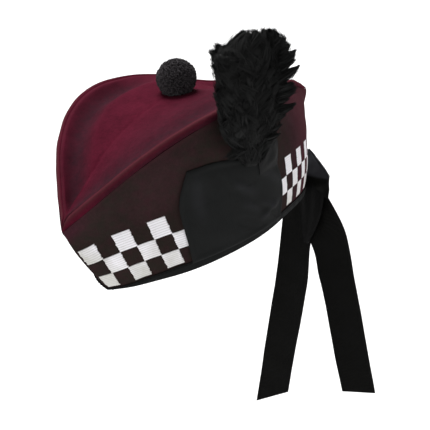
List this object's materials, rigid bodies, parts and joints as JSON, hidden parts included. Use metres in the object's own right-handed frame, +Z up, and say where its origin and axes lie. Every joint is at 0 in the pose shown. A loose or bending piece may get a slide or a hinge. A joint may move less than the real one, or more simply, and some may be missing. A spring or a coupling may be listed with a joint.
{
  "type": "glengarry cap",
  "caption": "Felt glengarry cap with diced band, ribbon patch and plume on its left, toorie on the crown and ribbon tails at the back.",
  "frame": {"origin": "middle of the head opening at the rim, where the cap sits on a head", "axes": "+Z up as worn, -X to the cap's front, -Y to the wearer's left; the cap is stored as worn, its nose tipped down about 10 degrees"},
  "size_m": [0.2723, 0.1824, 0.3594],
  "materials": {
    "side_felt": "matt maroon wool felt",
    "crown_felt": "matt maroon wool felt, a little brighter",
    "white_embroidery": "white satin stitch",
    "ribbon": "black ribbon with a soft sheen",
    "feather": "black feather barbs",
    "wool": "black clipped wool yarn"
  },
  "bodies": {
    "root": {"side_left": "side_felt", "side_right": "side_felt", "crown_top": "crown_felt", "binding": "ribbon", "dicing_left": "white_embroidery", "dicing_right": "white_embroidery", "ribbon_patch": "ribbon", "ribbon_fold": "ribbon", "toorie": "wool", "plume": "feather", "rear_bow": "ribbon", "tail_left": "ribbon", "tail_right": "ribbon"}
  },
  "joints": []
}
